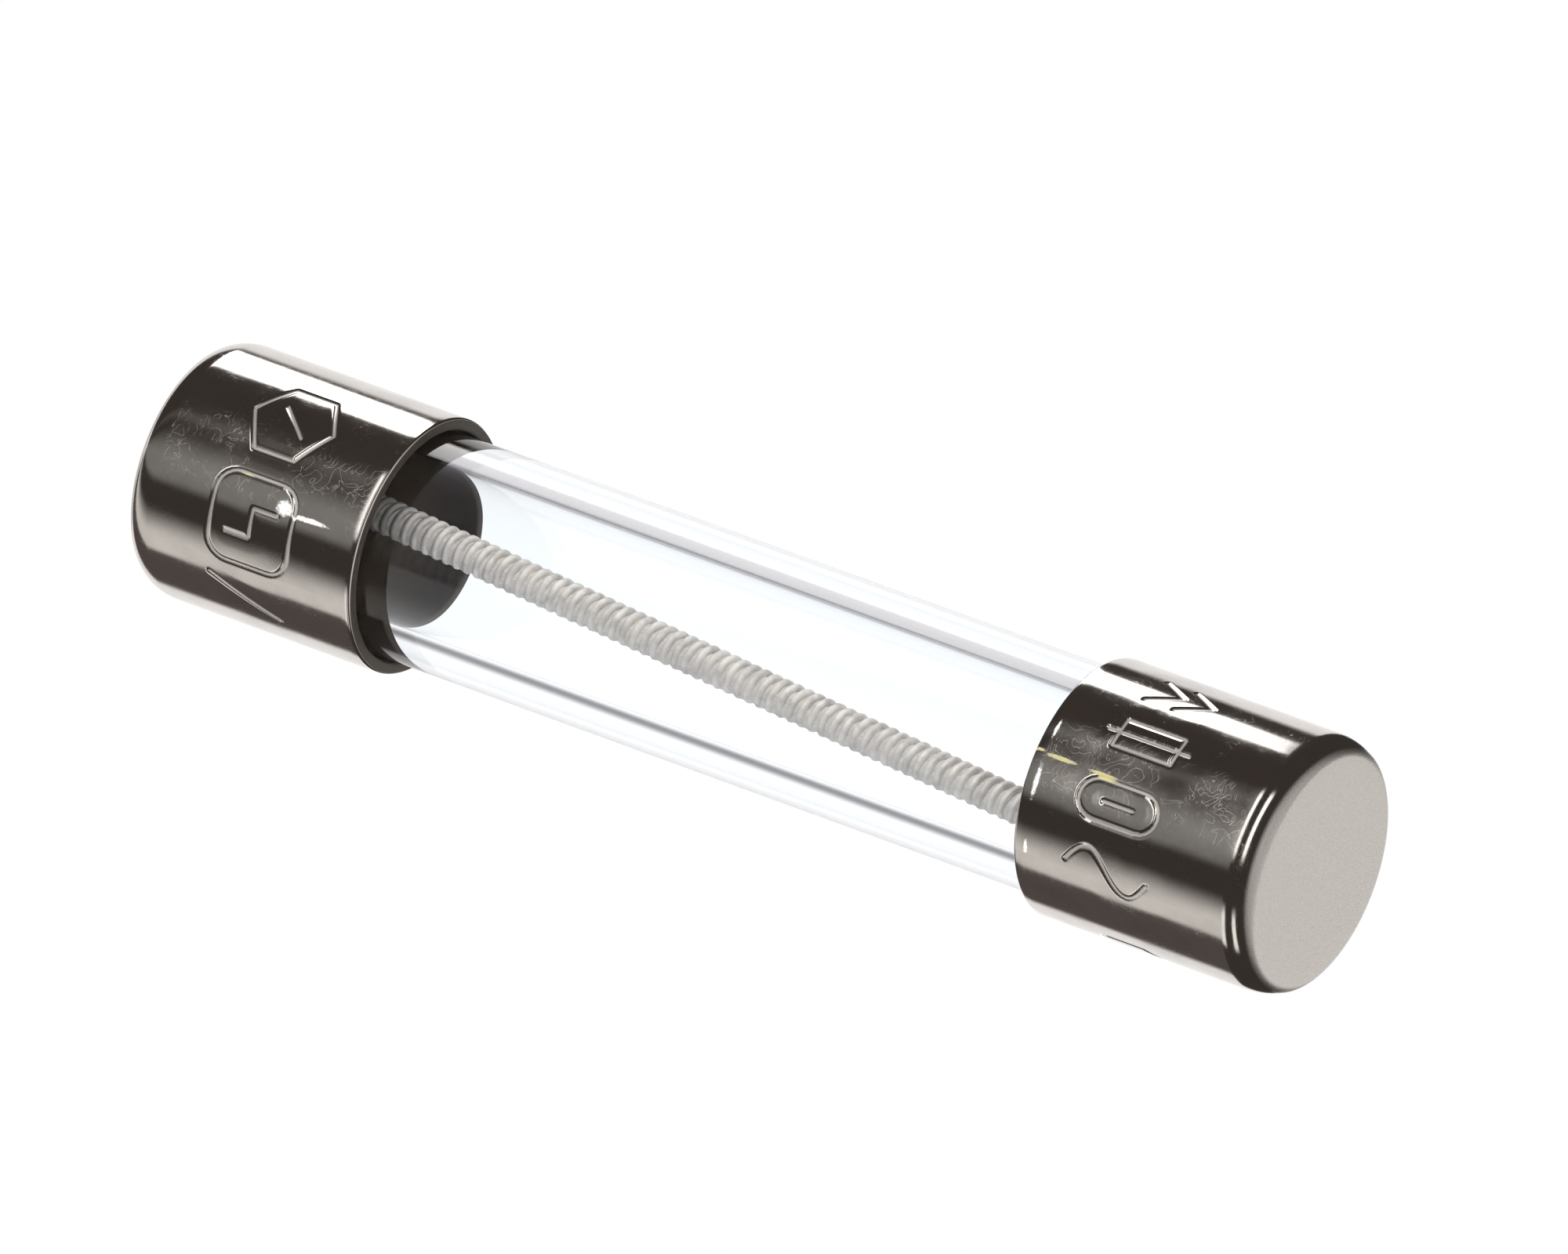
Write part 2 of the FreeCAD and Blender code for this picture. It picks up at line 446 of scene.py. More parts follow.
def nickel_plate(cap):
    """Bright nickel on brass: fine scuffs, a satin end face, white spots as painted glints off nicks, and an
    inside that is partly unplated brass under flux and partly painted shade, lighter deeper in as painted
    light.
    """
    material, graph = shader("nickel_plate")
    place = object_mm(graph)
    x, y, z = graph.parts(place)
    along = abs(x)
    out = (y * y + z * z) ** 0.5
    turn = graph.maths("ARCTAN2", z, y)
    around = out * turn
    radius, half, mouth = CAP_RADIUS / MM, HALF_LENGTH / MM, CAP_LOW.x / MM
    on_end = graph.ramp(along, half - 0.20, half - 0.08) * graph.ramp(out, radius - 0.05, radius - 0.24)
    on_skin = graph.ramp(out, radius - 0.12, radius - 0.08)
    in_cup = inside_of_cup(graph, along, out, cap)

    skin = graph.join(x, around, out)
    draw_lines = graph.grain(graph.join(x * 0.25, turn * 55, out), 1.0, 3.0, 0.6)
    specks = graph.grain(place, 11.0, 3.0, 0.7)
    pits = graph.grain(place, 26.0, 2.0, 0.6)
    clouds = graph.grain(skin, 0.9, 3.0, 0.6)
    web = graph.grain(skin, 2.2, 1.0, 0.5, 1.6)
    hairline = graph.ramp(abs(web - 0.5), 0.006, 0.0) * graph.ramp(clouds, 0.42, 0.6)
    struck = graph.ramp(graph.attribute("pressed"), 0.25, 0.85)
    worn = spots(graph, x, around, SCRATCHES, (specks - 0.5) * 1.1) * on_skin
    # Painted highlights: dull white spots where nicks would glint.
    glint = spots(graph, x, around, GLINT_SPOTS, (specks - 0.5) * 2.2) * on_skin

    colour = graph.mix_colour(graph.ramp(clouds, 0.3, 0.7, 0.0, 0.7), painted(cap.plating),
                              painted(cap.plating, 0.86))
    satin = graph.mix_colour(graph.ramp(pits, 0.35, 0.65), painted(cap.plating, SATIN_DARK),
                             painted(cap.plating, SATIN_LIGHT))
    colour = graph.mix_colour(on_end, colour, satin)
    colour = graph.mix_colour(worn, colour, painted(cap.worn))
    colour = graph.mix_colour(glint, colour, painted(GLINT_WHITE))
    # Inside of the cup: partly unplated brass under flux and partly painted shade of the hollow, darkest by
    # the mouth and lighter deeper in as painted light.
    depth = graph.ramp(along, mouth + 0.3, mouth + 2.4)
    inside = graph.mix_colour(depth, painted(cap.inside), painted(cap.inside, INSIDE_DEEP_PAINTED_LIGHT))
    colour = graph.mix_colour(in_cup, colour, inside)

    polish = 0.085 + 0.04 * graph.ramp(clouds, 0.35, 0.7) + 0.07 * graph.ramp(specks, 0.55, 0.8)
    polish = polish + 0.18 * hairline + 0.34 * struck + 0.3 * worn + 0.5 * in_cup
    roughness = polish * (1.0 - on_end) + 0.38 * on_end
    metallic = (1.0 - 0.92 * in_cup) * (1.0 - 0.45 * struck) * (1.0 - 0.5 * worn) * (1.0 - glint)
    fine = specks * 0.7 + draw_lines * 0.3 - hairline * 0.8
    normal = graph.bump(fine * (1.0 - on_end), 0.065, 0.010 * MM)
    normal = graph.bump(pits * on_end, 0.35, 0.02 * MM, normal)
    finish_surface(graph, {"Base Color": colour, "Roughness": roughness, "Metallic": metallic,
                           "Normal": normal})
    return material


def spots(graph, x, around, places, ragged):
    """Small long spots in the skin of the caps, with ragged edges: a mask."""
    mask = 0.0
    for place, degrees, half_along, half_around in places:
        arc_length = math.radians(180 - degrees) * CAP_RADIUS / MM
        across = ((x - place) / half_along) ** 2 + ((around - arc_length) / half_around) ** 2
        mask = mask + graph.ramp(across + ragged, 1.25, 0.1)
    return mask


def clear_glass(glass):
    """Clear drawn glass with a few faint smears."""
    material, graph = shader("clear_glass")
    place = object_mm(graph)
    stretch = graph.vector("MULTIPLY", place, (0.25, 1.0, 1.0))
    smears = graph.grain(stretch, 1.4, 3.0, 0.6)
    roughness = 0.02 * graph.ramp(smears, 0.58, 0.8)
    finish_surface(graph, {"Base Color": painted(glass.tint), "Roughness": roughness,
                           "Transmission Weight": 1.0, "IOR": glass.index})
    return material


# How far along the fuse, in mm, the painted shadow of the caps on the wire begins and is complete.
CAP_SHADOW_START = (9.0, 10.7)


def tinned_wire(element):
    """Dull tin with drawn streaks and darker patches, painted darker inside the caps as their shadow."""
    material, graph = shader("tinned_wire")
    place = object_mm(graph)
    patches = graph.grain(place, 2.6, 3.0, 0.6)
    streaks = graph.grain(place, 30.0, 2.0, 0.6)
    dull = graph.ramp(patches, 0.35, 0.7)
    colour = graph.mix_colour(dull, painted(element.tin), painted(element.tin, 0.72))
    # Painted shadow: the wire darkens where it runs into the caps.
    cap_shadow = graph.ramp(abs(graph.parts(place)[0]), *CAP_SHADOW_START)
    colour = graph.mix_colour(cap_shadow, colour, painted(element.tin, 0.30))
    roughness = 0.40 + 0.16 * patches + 0.10 * streaks
    normal = graph.bump(streaks, 0.20, 0.006 * MM)
    finish_surface(graph, {"Base Color": colour, "Roughness": roughness, "Metallic": 0.35,
                           "Normal": normal})
    return material


def glass_yarn(element):
    """Matt glass fibres, with fine streaks along each strand."""
    material, graph = shader("glass_yarn")
    place = object_mm(graph)
    along = graph.vector("MULTIPLY", place, (2.0, 40.0, 40.0))
    fibres = graph.grain(along, 1.0, 2.0, 0.7)
    colour = graph.mix_colour(graph.ramp(fibres, 0.35, 0.65), painted(element.yarn, 0.80),
                              painted(element.yarn))
    normal = graph.bump(fibres, 0.5, 0.01 * MM)
    finish_surface(graph, {"Base Color": colour, "Roughness": 0.6 + 0.2 * fibres,
                           "Sheen Weight": 0.3, "Normal": normal})
    return material


def dull_solder(solder):
    """Frosted solder with specks and a brownish flux haze."""
    material, graph = shader("dull_solder")
    place = object_mm(graph)
    frost = graph.grain(place, 9.0, 4.0, 0.65)
    haze = graph.grain(place, 1.1, 2.0, 0.5)
    colour = graph.mix_colour(graph.ramp(haze, 0.45, 0.7, 0.0, 0.7), painted(solder.metal),
                              painted(solder.flux))
    normal = graph.bump(frost, 0.4, 0.02 * MM)
    finish_surface(graph, {"Base Color": colour, "Roughness": 0.35 + 0.3 * frost, "Metallic": 0.9,
                           "Normal": normal})
    return material


def glowing(name, colour, strength, attribute=None):
    """A surface that shines and shows no light or shade: evenly, or as much as its attribute says."""
    material, graph = shader(name)
    colour = painted(colour)
    if attribute:
        colour = graph.mix_colour(graph.attribute(attribute), (0.0, 0.0, 0.0, 1.0), colour)
    glow = graph.node("ShaderNodeEmission", None, {"Color": colour, "Strength": strength})
    graph.node("ShaderNodeOutputMaterial", None, {"Surface": glow})
    return material


# ---- marks on the caps

# A mark is a list of strokes, and a stroke is a list of (along, around) points in shares of the mark's
# height, counted from its end near the mouth and from its middle. They are plain drawing signs.

def fuse_sign():
    """A narrow box with a line through it."""
    box = [(0.14, -0.17), (0.86, -0.17), (0.86, 0.17), (0.14, 0.17), (0.14, -0.17)]
    return [box, [(0.0, 0.0), (1.0, 0.0)]]


def wave_sign():
    """One full wave."""
    steps = 24
    return [[(i / steps, 0.22 * math.sin(2 * math.pi * i / steps)) for i in range(steps + 1)]]


def loop_sign():
    """A long rounded loop with a short bar in it."""
    ends = arc((0.76, 0.0), 0.22, -90, 90, 10) + arc((0.24, 0.0), 0.22, 90, 270, 10)
    return [ends + ends[:1], [(0.32, 0.0), (0.68, 0.0)]]


def chevron_sign():
    """Two nested arrowheads."""
    return [[(s, -0.22), (s + 0.34, 0.0), (s, 0.22)] for s in (0.12, 0.48)]


def hexagon_sign():
    """A six-sided outline with a slanting bar in it."""
    corners = arc((0.5, 0.0), 0.5, 0, 360, 6)
    return [corners, [(0.32, -0.16), (0.68, 0.16)]]


def tile_sign():
    """A square with rounded corners and a step across it."""
    outline = []
    for quarter, (along, around) in enumerate(((0.76, 0.26), (0.24, 0.26), (0.24, -0.26), (0.76, -0.26))):
        outline += arc((along, around), 0.24, 90 * quarter, 90 * quarter + 90, 6)
    return [outline + outline[:1], [(0.2, 0.16), (0.5, 0.16), (0.5, -0.16), (0.8, -0.16)]]


def slash_sign():
    """A single slanting stroke."""
    return [[(0.15, -0.21), (0.97, 0.21)]]


# For each cap, how far its marks lie from the mouth, and each mark's place round the cap in degrees: 0 is the
# front and 90 the top.
MARKS = {
    "left": (1.87 * MM, ((70, hexagon_sign), (21, tile_sign), (-17, slash_sign),
                         (-75, fuse_sign), (-130, wave_sign), (175, chevron_sign))),
    "right": (1.45 * MM, ((95, chevron_sign), (65, fuse_sign), (34, loop_sign), (4, wave_sign),
                          (-60, hexagon_sign), (-110, tile_sign), (-160, loop_sign), (150, wave_sign))),
}


STROKE_STEP = 0.05 * MM


def stroke_points(first, second, height):
    """Closely spaced points in metres, as (along, around), on the line between two points of a sign."""
    steps = max(1, round(math.dist(first, second) * height / STROKE_STEP))
    alongs = spread(first[0] * height, second[0] * height, steps)
    arounds = spread(first[1] * height, second[1] * height, steps)
    return list(zip(alongs, arounds))


def stroke_mesh(side_name, mark):
    """The marks of one cap as bare edges lying on its side."""
    start, marks = MARKS[side_name]
    corners, edges = [], []
    for degrees, sign in marks:
        for stroke in sign():
            for first, second in zip(stroke, stroke[1:]):
                count = len(corners)
                for along, around in stroke_points(first, second, mark.height):
                    angle = math.radians(degrees) + around / CAP_RADIUS
                    corners.append((SIDES[side_name] * (CAP_LOW.x + start + along),
                                    -CAP_RADIUS * math.cos(angle), CAP_RADIUS * math.sin(angle)))
                edges += [(i, i + 1) for i in range(count, len(corners) - 1)]
    mesh = bpy.data.meshes.new(side_name + "_strokes")
    mesh.from_pydata(corners, edges, [])
    return mesh


def stamp_tree():
    """Presses strokes into the outer skin of a turned piece."""
    sockets = {"Strokes": "Object", "Depth": "Float", "Stroke": "Float", "Dish": "Float",
               "Dish Width": "Float", "Skin Radius": "Float", "Material": "Material"}
    graph, field = geometry_tree("stamp_marks", sockets)
    strokes = graph.node("GeometryNodeObjectInfo", {"transform_space": "ORIGINAL"},
                         {"Object": field["Strokes"]}, "Geometry")
    distance = graph.node("GeometryNodeProximity", {"target_element": "EDGES"}, {0: strokes}, "Distance")
    place = graph.node("GeometryNodeInputPosition")
    x, y, z = graph.parts(place)
    outward = graph.vector("NORMALIZE", graph.join(0.0, y, z))
    out = (y * y + z * z) ** 0.5
    on_skin = graph.maths("GREATER_THAN", out, field["Skin Radius"])
    groove = graph.ramp(distance, 0.0, field["Stroke"], 1.0, 0.0)
    dish = graph.ramp(distance, 0.0, field["Dish Width"], 1.0, 0.0)
    sink = (groove * field["Depth"] + dish * field["Dish"]) * on_skin
    offset = graph.vector("SCALE", outward, Scale=sink * -1.0)
    pressed = graph.node("GeometryNodeSetPosition", None, {"Geometry": field["Geometry"], "Offset": offset})
    settings = {"data_type": "FLOAT", "domain": "POINT"}
    marked = graph.node("GeometryNodeStoreNamedAttribute", settings,
                        {"Geometry": pressed, "Name": "pressed", "Value": groove * on_skin})
    end_tree(graph, marked, field["Material"])
    return graph.tree


# ---- pieces

# The rows of faces along a cap lie close together where there are marks, and a little past them.
MARKED_ROWS = 100
PLAIN_ROWS = 6
BAND_MARGIN = 0.2 * MM

# How long the waves in the skin of a drawn cup are, and how high beside each other.
SKIN_WAVES = ((1.7 * MM, 0.6), (0.6 * MM, 0.2))


def cap_profile(side, cap, mark):
    """The outline of a cap from the middle of its end, over the lip, to the middle of its floor."""
    length = CAP_HIGH.x - CAP_LOW.x
    bore = CAP_RADIUS - cap.wall
    band_start = length - MARKS["left"][0] - mark.height - BAND_MARGIN
    band_end = length - MARKS["right"][0] + BAND_MARGIN
    flat = [(0.0, r) for r in spread(0.0, CAP_RADIUS - cap.corner, 8)]
    corner = [(cap.shoulder * (1 + t), CAP_RADIUS + cap.corner * (r - 1))
              for t, r in arc((0.0, 0.0), 1.0, 180, 90, 20)[1:]]
    rows = spread(cap.shoulder, band_start, PLAIN_ROWS)[1:] + spread(band_start, band_end, MARKED_ROWS)[1:]
    rows += spread(band_end, length - cap.lip, PLAIN_ROWS)[1:]
    skin = [(t, CAP_RADIUS) for t in rows]
    lip = arc((length - cap.lip, CAP_RADIUS - cap.lip), cap.lip, 90, 0, 7)[1:]
    inner_lip = arc((length - cap.lip_inner, bore + cap.lip_inner), cap.lip_inner, 0, -90, 4)
    floor = arc((cap.wall + cap.floor_corner, bore - cap.floor_corner), cap.floor_corner, 90, 180, 4)
    floor += [(cap.wall, 0.0)]
    outline = flat + corner + skin + lip + inner_lip + floor
    return [(side * (HALF_LENGTH - t), r) for t, r in outline]


def ripple(mesh, height):
    """Gives the outer skin of a cap the slight unevenness of a drawn cup, always inwards."""
    for vertex in mesh.vertices:
        out = math.hypot(vertex.co.y, vertex.co.z)
        if out < CAP_RADIUS * 0.6:
            continue
        wave = sum(noise.noise(vertex.co / length) * share for length, share in SKIN_WAVES)
        sink = height * (wave - 1.0)
        vertex.co.y += vertex.co.y / out * sink
        vertex.co.z += vertex.co.z / out * sink


class FUSE_OT_end_caps(bpy.types.Operator):
    """Build both end caps with their pressed marks"""
    bl_idname = "fuse.end_caps"
    bl_label = "End caps"

    def execute(self, context):
        cap, mark = context.scene.fuse.cap, context.scene.fuse.mark
        material = nickel_plate(cap)
        tree = stamp_tree()
        for name, side in SIDES.items():
            mesh = lathe(name + "_cap", cap_profile(side, cap, mark), cap.columns)
            ripple(mesh, cap.ripple)
            strokes = link(name + "_strokes", stroke_mesh(name, mark))
            piece = made_by_tree(name + "_cap", mesh, tree, {
                "Strokes": strokes, "Depth": mark.depth, "Stroke": mark.stroke, "Dish": mark.dish,
                "Dish Width": mark.dish_width, "Skin Radius": CAP_RADIUS - cap.wall / 2,
                "Material": material})
            bpy.data.objects.remove(strokes)
            hand_over(piece, name + "_end_cap")
        return {"FINISHED"}


class FUSE_OT_glass_tube(bpy.types.Operator):
    """Build the clear tube between the caps"""
    bl_idname = "fuse.glass_tube"
    bl_label = "Glass tube"

    def execute(self, context):
        glass = context.scene.fuse.glass
        outer, end = GLASS_HIGH.z, GLASS_HIGH.x
        inner, edge = outer - glass.wall, glass.edge
        rows = spread(-end + edge, end - edge, 12)[1:-1]
        rim = arc((end - edge, outer - edge), edge, 90, 0, 5)
        rim += arc((end - edge, inner + edge), edge, 0, -90, 5)
        outline = [(x, outer) for x in rows] + rim
        outline += [(x, inner) for x in reversed(rows)] + [(-x, r) for x, r in reversed(rim)]
        piece = link("glass", lathe("glass", outline, glass.columns, closed=True))
        piece.data.materials.append(clear_glass(glass))
        hand_over(piece, "glass_tube")
        return {"FINISHED"}


# The way the yarn sags, towards the low front side, and how much wider than touching its strands are.
LOW_FRONT = Vector((0.0, -0.45, -0.89))
STRAND_OVERLAP = 1.06


# The inputs that every tree for a piece of the element has.
ON_ELEMENT = {"Length": "Float", "Lean": "Rotation", "Start": "Vector", "Material": "Material"}


def core_radius():
    """Radius of the core, from the ring of its mesh at one end."""
    places = [vertex.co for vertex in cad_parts["element_core"].data.vertices]
    end = min(place.x for place in places)
    ring = [place.z for place in places if place.x < end + 0.01 * MM]
    return (max(ring) - min(ring)) / 2


def element_ends():
    """The two ends of the element's axis, on the floors of the caps."""
    radius = core_radius()
    start = Vector((LEFT_FLOOR_X, CORE_HIGH.y - radius, CORE_HIGH.z - radius))
    end = Vector((-LEFT_FLOOR_X, CORE_LOW.y + radius, CORE_LOW.z + radius))
    return start, end


def on_element(inset):
    """What places a coil on the element's axis, with that inset at both ends: a dict for its tree."""
    start, end = element_ends()
    axis = (end - start).normalized()
    return {"Length": (end - start).length - 2 * inset, "Start": start + axis * inset,
            "Lean": axis.to_track_quat("Z", "Y").to_euler()}


def helix(graph, field, lay, radius, resolution):
    """A coil of the tree's own length, with that lay and radius."""
    return graph.node("GeometryNodeCurveSpiral", None, {
        "Resolution": resolution, "Rotations": field["Length"] / lay, "Start Radius": radius,
        "End Radius": radius, "Height": field["Length"]})


def round_bar(graph, curve, radius, resolution):
    """A round bar along a curve, closed at its ends."""
    section = graph.node("GeometryNodeCurvePrimitiveCircle", None,
                         {"Resolution": resolution, "Radius": radius})
    return graph.node("GeometryNodeCurveToMesh", None,
                      {"Curve": curve, "Profile Curve": section, "Fill Caps": True})


def end_on_element(graph, field, geometry):
    """Ends a tree with its geometry, built upwards from the origin, laid along the element."""
    placed = graph.node("GeometryNodeTransform", None, {
        "Geometry": geometry, "Translation": field["Start"], "Rotation": field["Lean"]})
    end_tree(graph, placed, field["Material"])
    return graph.tree


def winding_tree():
    """One wire wound as a long coil, with its turns straying a little."""
    sockets = {"Pitch": "Float", "Coil Radius": "Float", "Wire Radius": "Float", "Jitter": "Float"}
    graph, field = geometry_tree("winding", sockets | ON_ELEMENT)
    coil = helix(graph, field, field["Pitch"], field["Coil Radius"], 24)
    height = graph.parts(graph.node("GeometryNodeInputPosition"))[2]
    turns = graph.join(height / field["Pitch"] * 0.8, 0.0, 0.0)
    stray = (graph.grain(turns, 1.0, 1.0) - 0.5) * 2.0 * field["Jitter"]
    coil = graph.node("GeometryNodeSetPosition", None,
                      {"Geometry": coil, "Offset": graph.join(0.0, 0.0, stray)})
    return end_on_element(graph, field, round_bar(graph, coil, field["Wire Radius"], 10))


def core_tree():
    """Strands twisted round each other into a yarn."""
    sockets = {"Lay": "Float", "Plies": "Int", "Ring Radius": "Float", "Ply Radius": "Float"}
    graph, field = geometry_tree("twisted_core", sockets | ON_ELEMENT)
    strand = helix(graph, field, field["Lay"], field["Ring Radius"], 14)
    ply = round_bar(graph, strand, field["Ply Radius"], 12)
    middles = graph.node("GeometryNodeMeshLine", None, {"Count": field["Plies"], "Offset": (0.0, 0.0, 0.0)})
    angle = graph.node("GeometryNodeInputIndex") * (2 * math.pi) / field["Plies"]
    plies = graph.node("GeometryNodeInstanceOnPoints", None, {
        "Points": middles, "Instance": ply, "Rotation": graph.join(0.0, 0.0, angle)})
    return end_on_element(graph, field, plies)


class FUSE_OT_fuse_wire(bpy.types.Operator):
    """Wind the fuse wire from cap to cap"""
    bl_idname = "fuse.fuse_wire"
    bl_label = "Fuse wire"

    def execute(self, context):
        element = context.scene.fuse.element
        wire_radius = element.wire / 2
        values = on_element(element.end_inset) | {
            "Pitch": element.pitch, "Coil Radius": core_radius() + wire_radius, "Wire Radius": wire_radius,
            "Jitter": element.jitter, "Material": tinned_wire(element)}
        piece = made_by_tree("wire", bpy.data.meshes.new("wire"), winding_tree(), values)
        hand_over(piece, "fuse_wire")
        return {"FINISHED"}


class FUSE_OT_yarn_core(bpy.types.Operator):
    """Twist the yarn core that the wire is wound on"""
    bl_idname = "fuse.yarn_core"
    bl_label = "Yarn core"

    def execute(self, context):
        element = context.scene.fuse.element
        spacing = math.sin(math.pi / element.plies)
        ply_radius = core_radius() * spacing / (1 + spacing) * STRAND_OVERLAP + element.bulge
        values = on_element(element.core_inset) | {
            "Lay": element.lay, "Plies": element.plies, "Ply Radius": ply_radius,
            "Ring Radius": core_radius() + element.bulge - ply_radius, "Material": glass_yarn(element)}
        values["Start"] += LOW_FRONT * element.sag
        piece = made_by_tree("core", bpy.data.meshes.new("core"), core_tree(), values)
        hand_over(piece, "element_core")
        return {"FINISHED"}


LUMP_LENGTH = 0.8 * MM
SOLDER_COLUMNS = 72


def solder_outline(fuse):
    """The plug on the right before it wets the element, from the middle of the cap's floor to its crown."""
    floor_x, tube_end = HALF_LENGTH - fuse.cap.wall, GLASS_HIGH.x
    cap_bore = CAP_RADIUS - fuse.cap.wall
    corner = fuse.cap.floor_corner
    plug = GLASS_HIGH.z - fuse.glass.wall - fuse.solder.bore_gap
    rim_x = floor_x - fuse.solder.depth
    outline = [(floor_x, r) for r in spread(0.0, cap_bore - corner, 10)]
    outline += arc((floor_x - corner, cap_bore - corner), corner, 0, 90, 4)[1:]
    outline += [(tube_end, cap_bore), (tube_end, (cap_bore + plug) / 2)]
    outline += [(x, plug) for x in spread(tube_end, rim_x, 5)]
    crown = reversed(spread(0.0, plug * 0.96, 18))
    outline += [(rim_x - fuse.solder.crown * (1 - (r / plug) ** 2), r) for r in crown]
    return outline


def wet(mesh, side, fuse):
    """Gives the solder lumps on its open surface, and a collar drawn up the element."""
    solder = fuse.solder
    plug = GLASS_HIGH.z - fuse.glass.wall - solder.bore_gap
    open_x = HALF_LENGTH - fuse.cap.wall - solder.depth + 0.05 * MM
    start, end = element_ends()
    reach = core_radius() + fuse.element.wire
    for vertex in mesh.vertices:
        place = vertex.co
        if side * place.x > open_x:
            continue
        axis = start.lerp(end, (place.x - start.x) / (end.x - start.x))
        away = math.hypot(place.y - axis.y, place.z - axis.z)
        climb = solder.climb * math.exp(-max(0.0, away - reach) / solder.collar)
        fade = max(0.0, 1.0 - (math.hypot(place.y, place.z) / plug) ** 6)
        lump = noise.noise(place / LUMP_LENGTH) * solder.lumps
        place.x -= side * (climb + lump) * fade


class FUSE_OT_solder(bpy.types.Operator):
    """Build the solder in the bottom of each cap"""
    bl_idname = "fuse.solder"
    bl_label = "Solder"

    def execute(self, context):
        fuse = context.scene.fuse
        material = dull_solder(fuse.solder)
        for name, side in SIDES.items():
            outline = [(side * x, r) for x, r in solder_outline(fuse)]
            mesh = lathe("plug", outline, SOLDER_COLUMNS)
            wet(mesh, side, fuse)
            piece = link(name + "_plug", mesh)
            piece.data.materials.append(material)
            hand_over(piece, name + "_solder")
        return {"FINISHED"}


# ---- stage

# The light is a sky of stripes that turn round the fuse's axis. An angle of 0 is straight down, 90 is level
# in front of the fuse and -90 level behind it. A stripe has two edges, how soft each is, and its colour.
MIRRORED_SKY = {
    "bench_behind": ((-98, -9), (5, 5), (0.98, 0.965, 0.955)),
    "bench_front": ((37, 66), (3, 15), (0.77, 0.75, 0.725)),
    "window": ((104, 138), (5, 14), (0.24, 0.235, 0.225)),
    "lamp": ((160, 168), (4, 4), (0.10, 0.092, 0.085)),
}
MIRRORED_DARK = (0.050, 0.041, 0.036)
BENCH_SHADE = ((-10, 60), (10, 10), (0.098, 0.082, 0.078))

# Mirrored rays whose direction has an x past ASIDE_START see a dark room with a patch of pale bench, a pale
# wall past the right-hand end, two tall windows and their light on the bench in front.
ASIDE_START = (-0.44, -0.41)
BENCH_PATCH = ((-85, -20), (6, 6), (1.25, 1.22, 1.20))
BENCH_PATCH_HEIGHTS = ((-0.80, -0.36), (0.05, 0.06))
END_WALL = (0.80, 0.78, 0.77)
END_WALL_START = (0.45, 0.85)
WINDOW_LIGHT = (1.9, 1.87, 1.82)
WINDOW_SIDES = ((-0.43, -0.32), (-0.05, 0.10))
WINDOW_SIDE_SOFTNESS = (0.02, 0.02)
WINDOW_HEIGHTS = ((116, 173), (7, 5))
WINDOW_ON_BENCH = ((34, 68), (4, 8))
WINDOW_ON_BENCH_SHARE = 0.6

# What lights dull surfaces: the pale room all round.
AMBIENT = (1.5, 1.49, 1.47)

# What shows through the glass: a pale bench all round, a shaded stretch of it under the fuse, and a dark wall
# above it. Rays that have passed three or more faces of the tube also see a bright ceiling.
THROUGH_BENCH = (1.14, 1.165, 1.19)
THROUGH_SHADE = ((-6, 8), (7, 5), (0.30, 0.293, 0.305))
THROUGH_DARK = (0.36, 0.35, 0.375)
THROUGH_DARK_START = (88, 97)
THROUGH_CEILING = (2.1, 2.04, 1.98)
THROUGH_CEILING_START = (120, 134)
THROUGH_CEILING_WALLS = (2.4, 2.6)

WHITE = (1.0, 1.0, 1.0)

# The softbox is a flat card. Its corners are where mirror rays from two places on the fuse meet its plane:
# each place has the distance along the fuse and the two angles, above level in front, that the card spans.
SOFTBOX_SPANS = ((-30.0 * MM, 131.0, 169.5), (20.0 * MM, 125.2, 146.0))
SOFTBOX_SHARES = (0.0, 0.13, 0.87, 1.0)
SOFTBOX_HEIGHT = 60 * MM
SOFTBOX_LIGHT = (1.0, 0.99, 0.98)


def stripe(graph, angle, edges, softness):
    """A mask that is 1 between two angles."""
    rising = graph.ramp(angle, edges[0] - softness[0], edges[0] + softness[0])
    falling = graph.ramp(angle, edges[1] - softness[1], edges[1] + softness[1], 1.0, 0.0)
    return rising * falling


def with_stripe(graph, angle, sky, edges, softness, radiance):
    """A sky with one more stripe on it."""
    return graph.mix_colour(stripe(graph, angle, edges, softness), sky, painted(radiance))


def sky_aside(graph, angle, x, z):
    """What mirrors see that face along the fuse."""
    wall = graph.mix_colour(graph.ramp(x, *END_WALL_START), painted(MIRRORED_DARK), painted(END_WALL))
    edges, softness, radiance = BENCH_PATCH
    patch = stripe(graph, angle, edges, softness) * stripe(graph, z, *BENCH_PATCH_HEIGHTS)
    sky = graph.mix_colour(patch, wall, painted(radiance))
    on_bench = stripe(graph, angle, *WINDOW_ON_BENCH)
    tall = stripe(graph, angle, *WINDOW_HEIGHTS) + WINDOW_ON_BENCH_SHARE * on_bench
    for sides in WINDOW_SIDES:
        window = stripe(graph, x, sides, WINDOW_SIDE_SOFTNESS) * tall
        sky = graph.mix_colour(window, sky, painted(WINDOW_LIGHT))
    return sky


def sky_in_mirrors(graph, angle, x, z):
    """What the plated caps reflect."""
    sky = with_stripe(graph, angle, painted(MIRRORED_DARK), *BENCH_SHADE)
    for edges, softness, radiance in MIRRORED_SKY.values():
        sky = with_stripe(graph, angle, sky, edges, softness, radiance)
    return graph.mix_colour(graph.ramp(x, *ASIDE_START), sky, sky_aside(graph, angle, x, z))


